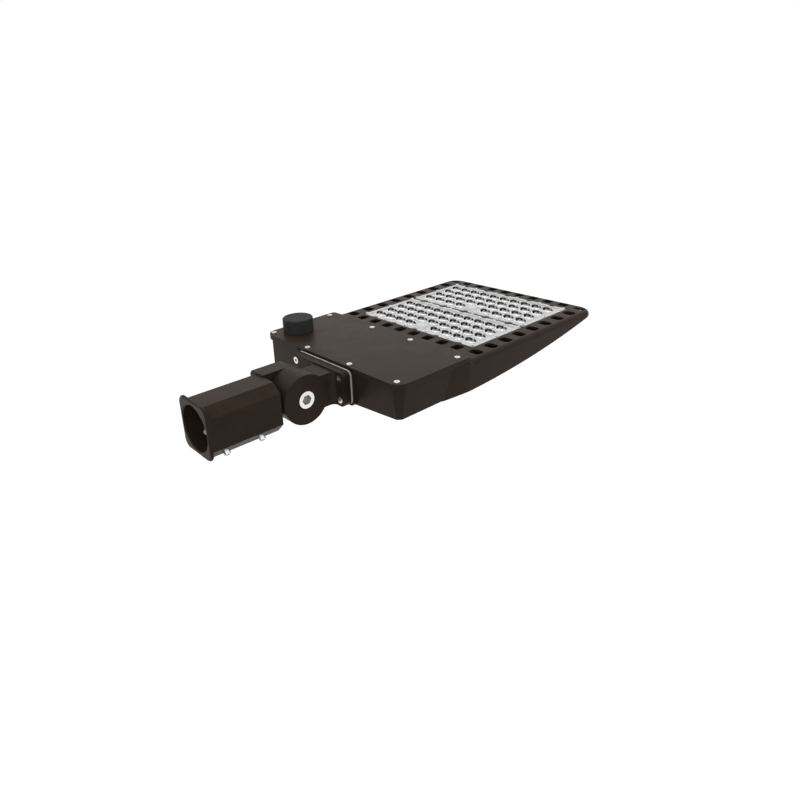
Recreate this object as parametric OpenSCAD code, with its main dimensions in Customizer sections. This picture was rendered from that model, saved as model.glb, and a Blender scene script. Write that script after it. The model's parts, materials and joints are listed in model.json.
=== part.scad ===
// Shoebox area light on a slip fitter, shown with its lens face up.
// Origin: on the tenon's axis, where the end of the pole tenon stops inside the slip fitter.
// X runs along the light from the fitter to the LED end, Y across it, Z out of the lens face.

/* [Tenon socket] */
// Diameter of the bore that slips over the tenon
tenon_bore_d = 67; // [62:0.5:68]
// Depth from the mouth to the tenon's stop
socket_depth = 100; // [80:1:130]
// Depth of the chamfered lead-in at the mouth
lead_in = 1.3; // [0.5:0.1:3]

/* [Slip fitter] */
// Thickness of the wall that the tenon stops against
end_wall = 15; // [10:1:20]
// Thickness of the mouth collar
collar_t = 5.5; // [4:0.5:8]
// Diameter of the set screws that grip the tenon
set_screw_d = 10; // [8:1:12]

/* [Knuckle] */
// Height of the pivot above the tenon axis
pivot_z = 1.6; // [0:0.1:4]
// Radius of the knuckle's round ends
knuckle_r = 38; // [36:0.5:40]
// Distance from the centre plane to the barrel's outer face
barrel_out = 40; // [36:1:44]
// Distance from the centre plane to the ear's outer face
ear_out = 37.5; // [32:0.5:40]
// Offset of the lap plane from the centre plane
lap_y = 3.4; // [0:0.2:6]
// Running gap between the two halves of the knuckle
lap_gap = 0.3; // [0.2:0.1:0.6]
// Diameter of the pivot bolt
pivot_bolt_d = 16; // [12:1:18]
// Diameter of the pivot bolt's head
pivot_head_d = 26; // [22:1:30]
// Radial running clearance of the pivot bolt
pivot_clear = 0.05; // [0.02:0.01:0.1]

/* [Mounting flange] */
// Distance from the pivot to the flange's front face
flange_reach = 49.2; // [48:0.2:56]
// Thickness of the flange
flange_t = 13; // [10:1:18]
// Half width of the flange
flange_half_w = 63.5; // [58:0.5:68]
// Half height of the flange
flange_half_h = 26.8; // [25:0.2:28]
// Thickness of the flange's gasket
flange_gasket_t = 3; // [1:0.5:4]

/* [Driver compartment] */
// Length of the cover along the light
cover_len = 148.5; // [140:0.5:165]
// Height of the cover's face above the tenon axis
cover_z = 37.5; // [36:0.5:44]
// Thickness of the cover's plate
cover_t = 3; // [2:0.5:4]
// Depth of the cover's lip
lip_depth = 8; // [5:0.5:10]
// Thickness of the compartment's walls
wall_t = 3.5; // [3:0.5:5]
// Depth of the compartment's floor below the cover's face at the side walls
side_depth = 54; // [50:0.5:60]
// Depth of the compartment's floor below the cover's face along the middle
keel_depth = 61.5; // [58:0.5:68]

/* [LED section] */
// Length of the LED section beyond the cover
led_len = 326.4; // [310:0.2:345]
// Half width of the LED section
led_half_w = 162; // [160:0.5:166]
// Depth of the rim below the cover's face
rim_drop = 7; // [6:0.5:9]
// Depth of the section's back below the cover's face at its deepest
back_depth = 54.9; // [50:0.1:62]
// Radius of the back's long arc
back_r = 1724; // [1500:1:2600]
// Thickness of the deck, the fins' base and the outer skirt
casting_t = 3.5; // [3:0.5:6]
// Thickness of a fin
fin_t = 3; // [2:0.5:4]

/* [Lens modules] */
// Length of one lens plate along the light
plate_len = 122; // [118:0.5:126]
// Gap between the two lens plates
plate_gap = 6.1; // [5:0.1:8]
// Radius of one lobe of a lens
lobe_r = 8; // [6:0.5:8.5]

/* [Sensor port] */
// Diameter of the sensor port's cap
cap_d = 51.2; // [48:0.1:54]
// Height of the cap above the cover
cap_h = 22.9; // [20:0.1:28]
// Angle that the cap turns to unlock
cap_turn = 30; // [20:1:35]

/* [Hidden] */

// Overrun of every cut past the face that it opens
cut = 1;
// Clearance between seated pieces
fit = 0.1;
// Clearance round a moving or loosely seated piece
loose = 0.3;

// Slip fitter
side_wall = 4;
top_wall = 3.7;
bottom_wall = 5;
collar_wall_up = 7;
collar_wall_down = 5.5;
stop_r = tenon_bore_d / 2;
fitter_half_w = stop_r + side_wall;
fitter_up = stop_r + top_wall;
fitter_down = stop_r + bottom_wall;
collar_up = stop_r + collar_wall_up;
collar_down = stop_r + collar_wall_down;
top_chamfer_w = 16.2;
top_chamfer_h = 12.7;
low_chamfer = 15.5;
collar_r = 13;
collar_edge = 1.6;
ear_edge_r = 5;
wire_r = 8;
set_screw_out = 6.9;
set_screw_in = -0.2;
set_screw_shares = [0.746, 0.191];
set_screw_places = [for (share = set_screw_shares) -share * socket_depth];
set_hex_r = 3;
set_hex_deep = 5;
mouth_x = -socket_depth;
chamfer_reach = (fitter_half_w + fitter_down - low_chamfer) / sqrt(2);
set_screw_len = chamfer_reach + set_screw_out - stop_r + set_screw_in;

// Knuckle
knuckle_gap = 3;
pivot_x = end_wall + knuckle_r + knuckle_gap;
boss_wall = 4;
boss_r = pivot_bolt_d / 2 + boss_wall;
cavity_r = 28;
barrel_floor = 16;
ear_floor = 14;
head_h = 8;
head_clear = 1;
head_proud = 0.5;
pivot_hex_r = 8;
pivot_hex_deep = 6.5;
nut_af = 24;
nut_h = 11;
wire_y = 17;
neck_wire_r = 9;
neck_wire_y = -14;

// Flange
flange_x = pivot_x + flange_reach;
flange_z = 5.5;
flange_r = 8;
flare_r = 9;
neck_in = 1.3;
neck_half_h = flange_half_h - neck_in;
neck_z = 4.5;
screw_in_y = 10.5;
screw_in_z = 10.2;
flange_screw_y = flange_half_w - screw_in_y;
flange_screw_z = flange_half_h - screw_in_z;
flange_head_d = 11;
flange_head_h = 6;
flange_screw_d = 6;
flange_bite = 6;
flange_hex_r = 2.9;
flange_hex_deep = 3;
pad_x = flange_x + flange_t + flange_gasket_t;
pad_margin = 2.5;
pad_up = 1.6;
pad_half_h = flange_half_h + pad_up;
pad_t = 2.6;

// Driver compartment
cover_side = 0.5;
cover_half_w = led_half_w - cover_side;
lip_t = 2.5;
lip_clear = 0.5;
wall_x = pad_x + pad_t;
cover_x = wall_x - lip_clear - lip_t;
cover_end = cover_x + cover_len;
cover_r = 20;
cover_end_r = 7;
comp_half_w = cover_half_w - lip_t - lip_clear;
comp_end = cover_end - lip_t - lip_clear;
comp_r = cover_r - lip_t - lip_clear;
draft_in = 2.5;
keel_half_w = 50;
gasket_t = 2;
gasket_w = 6;
wall_top = cover_z - cover_t - gasket_t;
floor_side = cover_z - side_depth;
floor_keel = cover_z - keel_depth;
keel_ramp = 14;
part_in = comp_end - wall_t;
notch_margin = 2;
corner_in_1 = 6.7;
corner_in_2 = 16;
mid_in_1 = 3.2;
mid_in_2 = 9.8;
corner_side_1 = 9.9;
corner_side_2 = 8.7;
corner_y_1 = comp_half_w - corner_side_1;
corner_y_2 = comp_half_w - corner_side_2;
mid_ys_1 = [49.5, -52.5];
mid_ys_2 = [43, -47.2];
cover_screw_d = 4;
cover_head_d = 8.4;
cover_head_h = 1.7;
cover_screw_len = 8;
boss_out_r = 5;
rib_t = 3;
cover_places = concat(
    [for (s = [-1, 1]) [wall_x + corner_in_1, s * corner_y_1]], [for (y = mid_ys_1) [wall_x + mid_in_1, y]],
    [for (s = [-1, 1]) [comp_end - corner_in_2, s * corner_y_2]], [for (y = mid_ys_2) [comp_end - mid_in_2, y]]);

// LED section
led_end = cover_end + led_len;
rim_z = cover_z - rim_drop;
ledge_z = cover_z - lip_depth - lip_clear - loose;
ledge_x = cover_end + lip_clear;
blend_back = 54;
led_start = comp_end - blend_back;
led_blend = 51;
led_r = 26;
led_edge_r = 8;
crown = 7.5;
back_mid = 95.5;
back_x = cover_x + back_mid;
back_z = cover_z - back_depth + back_r;
deck_z = rim_z - casting_t;
seat_drop = 8;
seat_z = rim_z - seat_drop;
base_z = seat_z - casting_t;
plate_back = 43;
plate_x = cover_end + plate_back;
plate_room = 1;
plate_side = 35.5;
plate_half_w = led_half_w - plate_side;
window_x = plate_x - plate_room;
window_end = plate_x + 2 * plate_len + plate_gap + plate_room;
window_half_w = plate_half_w + plate_room;
ring_t = 4;
vent_l = 18.5;
vent_w = 17;
vent_r = 4;
vent_mid = 2;
side_vent_l = 17;
side_vent_w = 21;
side_vent_r = 6;
last_vent_l = 10;
vent_side = 19.2;
side_vent_y = led_half_w - vent_side;
side_vents = 9;
across_vents = 8;
vent_pitch = 2 * plate_half_w / across_vents;
vent_edge_1 = 1;
vent_edge_2 = 3.8;
side_vent_in = 3.6;
last_vent_in = 4;
vent_x_1 = window_x - ring_t - vent_edge_1 - vent_l / 2;
vent_x_2 = window_end + ring_t + vent_edge_2 + vent_l / 2;
side_vent_1 = vent_x_1 + side_vent_in;
side_pitch = (vent_x_2 - side_vent_1) / (side_vents - 1);
fin_side_y = window_half_w + ring_t - fin_t / 2;
duct_w = 12;
duct_r = 2.6;
duct_up = 3;
duct_z = seat_z + duct_up;
bulge_r = 7;
bulge_in = 4;
bulge_share = 0.1937;
bulge_pitch = bulge_share * 2 * plate_half_w;
bulge_gap = 0.5;
divider_t = 4.5;
divider_drop = 0.8;

// Lens modules
board_t = 1.6;
chip_w = 5;
chip_h = 0.8;
lens_gasket_t = 1;
lens_rim = 6;
field_in = 1;
plate_r = 4;
rim_up = 1.5;
field_drop = 2.5;
sheet_t = 2;
lens_h = 3.8;
lobe_step = 3;
first_row_share = 0.1557;
first_row = first_row_share * plate_len;
row_pitch_share = 0.2082;
row_pitch = row_pitch_share * plate_len;
row_spacing_shares = [0.0996, 0.1008, 0.1004, 0.0921];
row_spacings = [for (share = row_spacing_shares) share * 2 * plate_half_w];
row_counts = [9, 9, 9, 10];
row_1_shift = 3.5;
boss_oval_r = 11;
boss_oval_h = 4.2;
lens_screw_d = 3;
lens_head_d = 5.6;
lens_head_h = 1.6;
lens_screw_in = 3.6;
lens_screw_bite = 3.5;
plate_top = rim_z + rim_up;
field_z = plate_top - field_drop;
lobe_ball_r = (lobe_r * lobe_r + lens_h * lens_h) / (2 * lens_h);
plate_step = plate_len + plate_gap;
lens_screw_places = concat(
    [for (k = [-2 : 1 : 3], e = [lens_screw_in, plate_len - lens_screw_in])
        [e, k == -2 ? lens_screw_in - plate_half_w : k == 3 ? plate_half_w - lens_screw_in : (k - 0.5) * bulge_pitch]],
    [for (s = [-1, 1]) [plate_len / 2, s * (plate_half_w - lens_screw_in)]]);

// Sensor port
port_in = 46.6;
port_x = cover_x + port_in;
port_side = 28.6;
port_y = comp_half_w - port_side;
cap_wall = 2.2;
cap_room = 1.4;
socket_lip = 4;
socket_step = 1;
socket_nut_wall = 3.5;
socket_flange_r = cap_d / 2 - cap_wall - cap_room;
socket_r = socket_flange_r - socket_lip;
socket_flange_t = 2.5;
socket_gasket_t = 1;
socket_neck_r = socket_r - socket_step;
socket_up = 12;
socket_down = 32;
socket_nut_r = socket_r + socket_nut_wall;
socket_nut_h = 6;
cap_top = 3;
cap_edge = 1.2;
cap_lift = 0.4;
blade_in = 7;
blade_r = socket_r - blade_in;
blade_t = 1.5;
blade_angle = 30;
blade_disc_out = 4;
blade_disc_r = blade_r + blade_disc_out;
blade_disc_t = 3;
blade_end = 2;
slot_clear = 0.6;
slot_spare = 4;
slot_depth = 16;

// Driver and small parts in the compartment
small_in = 31;
small_x = wall_x + small_in;
small_gap = 6;
surge_l = 64;
surge_w = 32;
surge_h = 26;
surge_gap = 31;
surge_y = -comp_half_w + wall_t + surge_gap + surge_l / 2;
driver_in = 18;
driver_port_gap = 13.9;
driver_wall_gap = 33;
driver_tab = 12;
driver_tab_t = 3;
driver_h = 36;
driver_w = part_in - driver_in - small_x - surge_w / 2 - small_gap;
driver_high = port_y - socket_r - driver_port_gap;
driver_low = -comp_half_w + wall_t + driver_wall_gap;
driver_body = driver_high - driver_low - 2 * driver_tab;
driver_y = (driver_high + driver_low) / 2;
driver_x = part_in - driver_in - driver_w / 2;
driver_up = 8;
driver_base = floor_side + driver_up;
driver_screw_d = 4;
driver_head_d = 8;
driver_head_h = 2.5;
driver_hole_in = 12;
driver_hole_x = driver_w / 2 - driver_hole_in;
driver_bite = 8;
surge_edge_r = 3;
block_l = 50;
block_w = 20;
block_h = 18;
block_y = 8;
block_ways = 5;
small_up = 3;
small_base = floor_side + small_up;
small_pad = 4;
grommet_r = 9.4;
grommet_lip = 3;
grommet_lip_t = 2;
grommet_hole = 2;
lead_r = 1.1;
lead_step = 1.25;
lead_bend = 8;
lead_in_end = 14;
lead_reach = 14;

// Two mirrored sides
sides = [-1, 1];

// A flat outline from x0 to x1 and to hy each side, with rounded corners
module flat_plate(x0, x1, hy, r) {
    offset(r = r, $fn = 40) translate([x0 + r, -hy + r]) square([x1 - x0 - 2 * r, 2 * hy - 2 * r]);
}

// A prism whose flat outline lies across the light, from x0 to x1
module across(x0, x1) {
    translate([x0, 0, 0]) rotate([90, 0, 90]) linear_extrude(x1 - x0) children();
}

// A prism whose flat outline lies along the light, from y0 to y1
module along(y0, y1) {
    translate([0, y1, 0]) rotate([90, 0, 0]) linear_extrude(y1 - y0) children();
}

// A cylinder along X
module rod_x(x0, x1, r, fn = 64) {
    translate([x0, 0, 0]) rotate([0, 90, 0]) cylinder(h = x1 - x0, r = r, $fn = fn);
}

// A cylinder along Y
module rod_y(y0, y1, r, fn = 96) {
    translate([0, y1, 0]) rotate([90, 0, 0]) cylinder(h = y1 - y0, r = r, $fn = fn);
}

// A screw along -Z from a head that stands on z = 0, with a hexagonal socket
module socket_screw(d, len, head_d, head_h, hex_r, hex_deep) {
    difference() {
        union() {
            cylinder(h = head_h, r = head_d / 2, $fn = 40);
            translate([0, 0, -len]) cylinder(h = len + head_h / 2, r = d / 2, $fn = 32);
        }
        translate([0, 0, head_h - hex_deep]) cylinder(h = hex_deep + cut, r = hex_r, $fn = 6);
    }
}

// Octagonal outline of the slip fitter, in Y and Z
module fitter_outline() {
    polygon([
        [-fitter_half_w + top_chamfer_w, fitter_up], [fitter_half_w - top_chamfer_w, fitter_up],
        [fitter_half_w, fitter_up - top_chamfer_h], [fitter_half_w, -fitter_down + low_chamfer],
        [fitter_half_w - low_chamfer, -fitter_down], [-fitter_half_w + low_chamfer, -fitter_down],
        [-fitter_half_w, -fitter_down + low_chamfer], [-fitter_half_w, fitter_up - top_chamfer_h]
    ]);
}

// Rounded outline of the mouth collar, in Y and Z, drawn in by a distance
module collar_outline(in) {
    offset(r = collar_r - in, $fn = 40)
        translate([-fitter_half_w + collar_r, -collar_down + collar_r])
            square([2 * (fitter_half_w - collar_r), collar_up + collar_down - 2 * collar_r]);
}

// Places one set screw's axis: along +Z it points out of the fitter
module at_set_screws() {
    for (x = set_screw_places, s = sides)
        translate([x, 0, 0]) rotate([s * 135, 0, 0]) children();
}

module slip_fitter() color([0.29, 0.27, 0.25]) {
    difference() {
        union() {
            across(mouth_x + collar_t / 2, end_wall) fitter_outline();
            hull() {
                across(mouth_x, mouth_x + collar_t) collar_outline(collar_edge);
                across(mouth_x + collar_edge, mouth_x + collar_t - collar_edge) collar_outline(0);
            }
            // Ear on the far side, with its round end at the pivot
            translate([pivot_x, 0, pivot_z]) {
                rod_y(lap_y + lap_gap, ear_out - ear_edge_r, knuckle_r);
                translate([0, ear_out - ear_edge_r, 0]) rotate([-90, 0, 0])
                    cylinder(h = ear_edge_r, r1 = knuckle_r, r2 = knuckle_r - ear_edge_r, $fn = 96);
            }
            translate([end_wall - cut, 0, 0]) across(0, pivot_x - end_wall + cut)
                polygon([
                    [lap_y + lap_gap, pivot_z - knuckle_r], [ear_out - ear_edge_r, pivot_z - knuckle_r],
                    [ear_out, pivot_z - knuckle_r + ear_edge_r], [ear_out, pivot_z + knuckle_r - ear_edge_r],
                    [ear_out - ear_edge_r, pivot_z + knuckle_r], [lap_y + lap_gap, pivot_z + knuckle_r]
                ]);
        }
        // Tenon bore with its lead-in
        rod_x(mouth_x - cut, 0, stop_r, 128);
        translate([mouth_x - cut, 0, 0]) rotate([0, 90, 0])
            cylinder(h = lead_in + cut, r1 = stop_r + lead_in + cut, r2 = stop_r, $fn = 128);
        // Threaded holes for the set screws
        at_set_screws() cylinder(h = chamfer_reach + cut, r = set_screw_d / 2 + fit, $fn = 40);
        // Pivot hole, nut pocket and the wire cavity round the bolt
        translate([pivot_x, 0, pivot_z]) {
            rod_y(lap_y - cut, ear_out + cut, pivot_bolt_d / 2 + pivot_clear);
            translate([0, ear_out + cut, 0]) rotate([90, 0, 0])
                cylinder(h = nut_h + cut, r = (nut_af / 2 + fit) / cos(30), $fn = 6);
            difference() {
                rod_y(lap_y - cut, ear_out - ear_floor, cavity_r);
                rod_y(lap_y - 2 * cut, ear_out, boss_r);
            }
        }
        // Wire way from the bore into the ear's cavity
        translate([0, wire_y, pivot_z]) rod_x(-cut, pivot_x - boss_r - cut, wire_r, 48);
    }
}

module tenon_set_screws() color([0.8, 0.8, 0.79])
    at_set_screws() translate([0, 0, chamfer_reach + set_screw_out - set_screw_len])
        difference() {
            cylinder(h = set_screw_len, r = set_screw_d / 2, $fn = 40);
            translate([0, 0, set_screw_len - set_hex_deep]) cylinder(h = set_hex_deep + cut, r = set_hex_r, $fn = 6);
        }

module pivot_bolt() color([0.82, 0.82, 0.8])
    translate([pivot_x, 0, pivot_z]) {
        difference() {
            union() {
                rod_y(-barrel_out - head_proud, -barrel_out + head_h - lap_gap, pivot_head_d / 2);
                rod_y(-barrel_out + head_h / 2, ear_out - fit, pivot_bolt_d / 2);
            }
            translate([0, -barrel_out - head_proud + pivot_hex_deep, 0]) rotate([90, 0, 0])
                cylinder(h = pivot_hex_deep + cut, r = pivot_hex_r, $fn = 6);
        }
    }

module pivot_nut() color([0.7, 0.7, 0.69])
    translate([pivot_x, ear_out, pivot_z]) rotate([90, 0, 0])
        difference() {
            cylinder(h = nut_h - fit, r = nut_af / 2 / cos(30), $fn = 6);
            translate([0, 0, -cut]) cylinder(h = nut_h + 2 * cut, r = pivot_bolt_d / 2 + pivot_clear, $fn = 96);
        }

module knuckle_bracket() color([0.27, 0.25, 0.23]) {
    difference() {
        union() {
            translate([pivot_x, 0, pivot_z]) rod_y(-barrel_out, lap_y, knuckle_r);
            along(-barrel_out, lap_y) translate([pivot_x, neck_z - neck_half_h])
                square([flange_reach + cut, 2 * neck_half_h]);
            // Fillets between the neck and the flange
            translate([flange_x - flare_r, 0, neck_z - neck_half_h]) linear_extrude(2 * neck_half_h) {
                translate([0, -barrel_out - flare_r]) flare();
                translate([0, lap_y + flare_r]) mirror([0, 1]) flare();
            }
            translate([flange_x, 0, flange_z]) flange_slab(flange_t, flange_half_w, flange_half_h);
        }
        translate([pivot_x, 0, pivot_z]) {
            rod_y(-barrel_out - cut, lap_y + cut, pivot_bolt_d / 2 + pivot_clear);
            rod_y(-barrel_out - cut, -barrel_out + head_h, pivot_head_d / 2 + head_clear);
            difference() {
                rod_y(-barrel_out + barrel_floor, lap_y + cut, cavity_r);
                rod_y(-barrel_out, lap_y + 2 * cut, boss_r);
            }
        }
        translate([0, neck_wire_y, neck_z]) rod_x(pivot_x + boss_r + cut, pad_x, neck_wire_r, 48);
        at_flange_screws() {
            translate([0, 0, -flange_head_h]) cylinder(h = flange_head_h + cut, r = flange_head_d / 2 + loose, $fn = 40);
            translate([0, 0, -flange_t - cut]) cylinder(h = flange_t + 2 * cut, r = flange_screw_d / 2 + loose, $fn = 32);
        }
    }
}

// Outline of one concave fillet, with its arc's centre at the origin
module flare() {
    difference() {
        square(flare_r + cut);
        circle(r = flare_r, $fn = 64);
    }
}

// A rounded slab that stands across the light, from x = 0 to t
module flange_slab(t, hw, hh) {
    across(0, t) flat_plate(-hw, hw, hh, flange_r);
}

// Places one flange screw: +Z points out of the flange's front face
module at_flange_screws() {
    for (y = sides, z = sides)
        translate([flange_x, y * flange_screw_y, flange_z + z * flange_screw_z]) rotate([0, -90, 0]) children();
}

module flange_gasket() color([0.62, 0.6, 0.57])
    difference() {
        translate([flange_x + flange_t, 0, flange_z]) flange_slab(flange_gasket_t, flange_half_w, flange_half_h);
        translate([0, neck_wire_y, neck_z]) rod_x(flange_x, pad_x + cut, grommet_r + grommet_lip, 48);
        at_flange_screws() translate([0, 0, -flange_t - flange_gasket_t - cut])
            cylinder(h = flange_gasket_t + 2 * cut, r = flange_screw_d / 2 + loose, $fn = 32);
    }

module flange_screws() color([0.8, 0.8, 0.79])
    at_flange_screws() translate([0, 0, -flange_head_h])
        socket_screw(flange_screw_d, flange_t - flange_head_h + flange_gasket_t + flange_bite,
            flange_head_d, flange_head_h, flange_hex_r, flange_hex_deep);

module entry_grommet() color([0.12, 0.12, 0.12])
    translate([0, neck_wire_y, neck_z])
        difference() {
            union() {
                rod_x(pad_x - flange_gasket_t / 2, wall_x + draft_in + wall_t + grommet_lip_t, grommet_r - fit, 48);
                rod_x(pad_x - flange_gasket_t + fit, pad_x - fit, grommet_r + grommet_lip - fit, 48);
            }
            for (a = [0, 120, 240]) rotate([a, 0, 0]) translate([0, 0, grommet_r / 2])
                rod_x(pad_x - flange_gasket_t - cut, wall_x + draft_in + wall_t + grommet_lip_t + cut, grommet_hole, 24);
        }

// Compartment envelope, drawn in by a wall thickness: crowned across, drafted at the ends
module comp_form(in, top) {
    intersection() {
        translate([0, 0, floor_keel - cut]) linear_extrude(top - floor_keel + 2 * cut)
            flat_plate(wall_x + in, comp_end - in, comp_half_w - in, comp_r - in);
        across(wall_x - cut, comp_end + cut) polygon([
            [-(comp_half_w - in), top], [-(comp_half_w - draft_in - in), floor_side + in],
            [-keel_half_w, floor_keel + in], [keel_half_w, floor_keel + in],
            [comp_half_w - draft_in - in, floor_side + in], [comp_half_w - in, top]
        ]);
        along(-comp_half_w - cut, comp_half_w + cut) polygon([
            [wall_x + in, top], [comp_end - in, top], [comp_end - in, floor_side + in],
            [comp_end - in - keel_ramp, floor_keel + in], [wall_x + in + draft_in, floor_keel + in]
        ]);
    }
}

// Plan outline of the LED section, drawn in by a distance, from the cover's end
module led_plan(in) {
    intersection() {
        flat_plate(ledge_x - led_r, led_end - in, led_half_w - in, led_r - in);
        translate([ledge_x, -led_half_w]) square([led_end - ledge_x, 2 * led_half_w]);
    }
}

// LED section envelope: rounded top edge, tapered start and the long arc of the back
module led_form(in) {
    low = floor_keel - cut;
    edge = in + led_edge_r;
    intersection() {
        union() {
            // Start of the section, which narrows to the compartment's walls
            translate([0, 0, low]) linear_extrude(ledge_z - low) polygon([
                [led_start, -comp_half_w + draft_in + in], [led_start + led_blend, -led_half_w + in],
                [ledge_x + cut, -led_half_w + in], [ledge_x + cut, led_half_w - in],
                [led_start + led_blend, led_half_w - in], [led_start, comp_half_w - draft_in - in]
            ]);
            translate([0, 0, low]) linear_extrude(rim_z - led_edge_r - low) led_plan(in);
            translate([0, 0, low]) linear_extrude(rim_z - low) led_plan(edge);
            // Rounded edge: two sides, the end and the two corners
            translate([0, 0, rim_z - led_edge_r]) {
                for (s = sides) translate([0, s * (led_half_w - edge), 0]) rod_x(ledge_x, led_end - led_r, led_edge_r);
                translate([led_end - edge, 0, 0]) rod_y(led_r - led_half_w, led_half_w - led_r, led_edge_r, 64);
                for (s = sides) translate([led_end - led_r, s * (led_half_w - led_r), 0])
                    rotate([0, 0, s > 0 ? 0 : -90]) rotate_extrude(angle = 90, $fn = 64)
                        translate([led_r - edge, 0]) circle(r = led_edge_r, $fn = 64);
            }
        }
        union() {
            translate([back_x, led_half_w + cut, back_z]) rotate([90, 0, 0])
                cylinder(h = 2 * led_half_w + 2 * cut, r = back_r, $fn = 1440);
            // Deeper middle, where the fins stand under the lens modules
            translate([back_x, window_half_w + ring_t, back_z - crown]) rotate([90, 0, 0])
                cylinder(h = 2 * window_half_w + 2 * ring_t, r = back_r, $fn = 1440);
        }
    }
}

// One vent, cut right through
module vent(x, y, l, w, r) {
    translate([x, y, floor_keel - cut]) linear_extrude(cover_z - floor_keel)
        offset(r = r, $fn = 20) square([l - 2 * r, w - 2 * r], center = true);
}

function vent_y(k) = vent_mid + (k - (across_vents - 1) / 2) * vent_pitch;

module vents() {
    for (k = [0 : across_vents - 1], x = [vent_x_1, vent_x_2]) vent(x, vent_y(k), vent_l, vent_w, vent_r);
    for (k = [0 : side_vents - 2], s = sides)
        vent(side_vent_1 + k * side_pitch, s * side_vent_y, side_vent_l, side_vent_w, side_vent_r);
    // The last vent at each side is short, because the corner is round
    for (s = sides) vent(vent_x_2 - last_vent_in, s * side_vent_y, last_vent_l, side_vent_w, vent_r);
}

// Half round bulges of the housing between the lens plates' ears, at one edge
module bulges(x, out, r) {
    for (k = [-2 : 2]) translate([x + out * (bulge_r - bulge_in), k * bulge_pitch]) circle(r = r, $fn = 48);
}

module housing() color([0.25, 0.22, 0.2]) {
    difference() {
        union() {
            comp_form(0, wall_top);
            difference() {
                led_form(0);
                // Hollow under the deck, inside the skirt
                translate([0, 0, floor_keel - cut]) linear_extrude(deck_z - floor_keel + cut) led_plan(casting_t);
            }
            intersection() {
                led_form(casting_t / 2);
                led_inner();
            }
            // Pad for the flange
            translate([pad_x, 0, wall_top - pad_half_h]) flange_slab(pad_t + draft_in + wall_t,
                flange_half_w + pad_margin, pad_half_h);
        }
        difference() {
            comp_form(wall_t, wall_top + cut);
            comp_furniture();
        }
        vents();
        window_cut();
        // Wire duct from the compartment to the lens window
        translate([0, 0, duct_z]) rod_x(part_in - cut, plate_x + bulge_in + cut, duct_r, 32);
        translate([0, 0, duct_z]) rod_x(part_in - cut, comp_end - wall_t / 2, duct_r + grommet_lip, 32);
        // Wire entry behind the flange
        translate([0, neck_wire_y, neck_z]) rod_x(pad_x - cut, wall_x + wall_t + draft_in + cut, grommet_r, 48);
        at_flange_screws() translate([0, 0, -flange_t - flange_gasket_t - flange_bite - cut])
            cylinder(h = flange_bite + 2 * cut, r = flange_screw_d / 2 + fit, $fn = 32);
        for (p = cover_places) translate([p[0], p[1], wall_top - cover_screw_len])
            cylinder(h = cover_screw_len + cut, r = cover_screw_d / 2 + fit, $fn = 24);
        for (p = driver_holes()) translate([p[0], p[1], driver_base - driver_bite - cut])
            cylinder(h = driver_bite + 2 * cut, r = driver_screw_d / 2 + fit, $fn = 24);
        for (m = [0, 1], p = lens_screw_places) translate([plate_x + m * plate_step + p[0], p[1], seat_z - lens_screw_bite - cut])
            cylinder(h = lens_screw_bite + 2 * cut, r = lens_screw_d / 2 + fit, $fn = 24);
    }
}

// Window for the two lens plates, down to the boards' seat
module window_cut() {
    translate([0, 0, seat_z]) linear_extrude(cover_z - seat_z)
        difference() {
            translate([window_x, -window_half_w]) square([window_end - window_x, 2 * window_half_w]);
            bulges(plate_x, -1, bulge_r - bulge_gap);
            bulges(plate_x + plate_step + plate_len, 1, bulge_r - bulge_gap);
            translate([plate_x + plate_len + plate_gap / 2 - divider_t / 2, -window_half_w - cut])
                square([divider_t, 2 * window_half_w + 2 * cut]);
            bulges(plate_x + plate_len, 1, bulge_r - bulge_gap);
            bulges(plate_x + plate_step, -1, bulge_r - bulge_gap);
        }
    translate([window_x, -window_half_w, rim_z - divider_drop])
        cube([window_end - window_x, 2 * window_half_w, cover_z - rim_z + divider_drop]);
}

// Base plate, ring round the window, fins and ribs, all trimmed by the envelope
module led_inner() {
    low = floor_keel - cut;
    translate([window_x - ring_t, -window_half_w - ring_t, base_z])
        cube([window_end - window_x + 2 * ring_t, 2 * (window_half_w + ring_t), rim_z - base_z]);
    for (k = [0 : across_vents])
        translate([comp_end - cut, vent_y(k - 0.5) - fin_t / 2, low])
            cube([led_end - comp_end, fin_t, deck_z - low + cut]);
    for (k = [0 : across_vents - 1])
        translate([window_x - ring_t, vent_y(k) - fin_t / 2, low])
            cube([window_end - window_x + 2 * ring_t, fin_t, base_z - low + cut]);
    for (s = sides)
        translate([comp_end - cut, s * fin_side_y - fin_t / 2, low])
            cube([led_end - comp_end, fin_t, deck_z - low + cut]);
    for (k = [0 : side_vents - 2], s = sides)
        translate([side_vent_1 + (k + 0.5) * side_pitch - fin_t / 2, s > 0 ? fin_side_y : -led_half_w, low])
            cube([fin_t, led_half_w - fin_side_y, deck_z - low + cut]);
    translate([comp_end - cut, -duct_w / 2, duct_z - duct_w / 2])
        cube([window_x - comp_end + cut, duct_w, deck_z - duct_z + duct_w / 2 + cut]);
}

function driver_holes() = [for (y = sides, x = sides)
    [driver_x + x * driver_hole_x, driver_y + y * (driver_body / 2 + driver_tab / 2)]];

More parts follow.
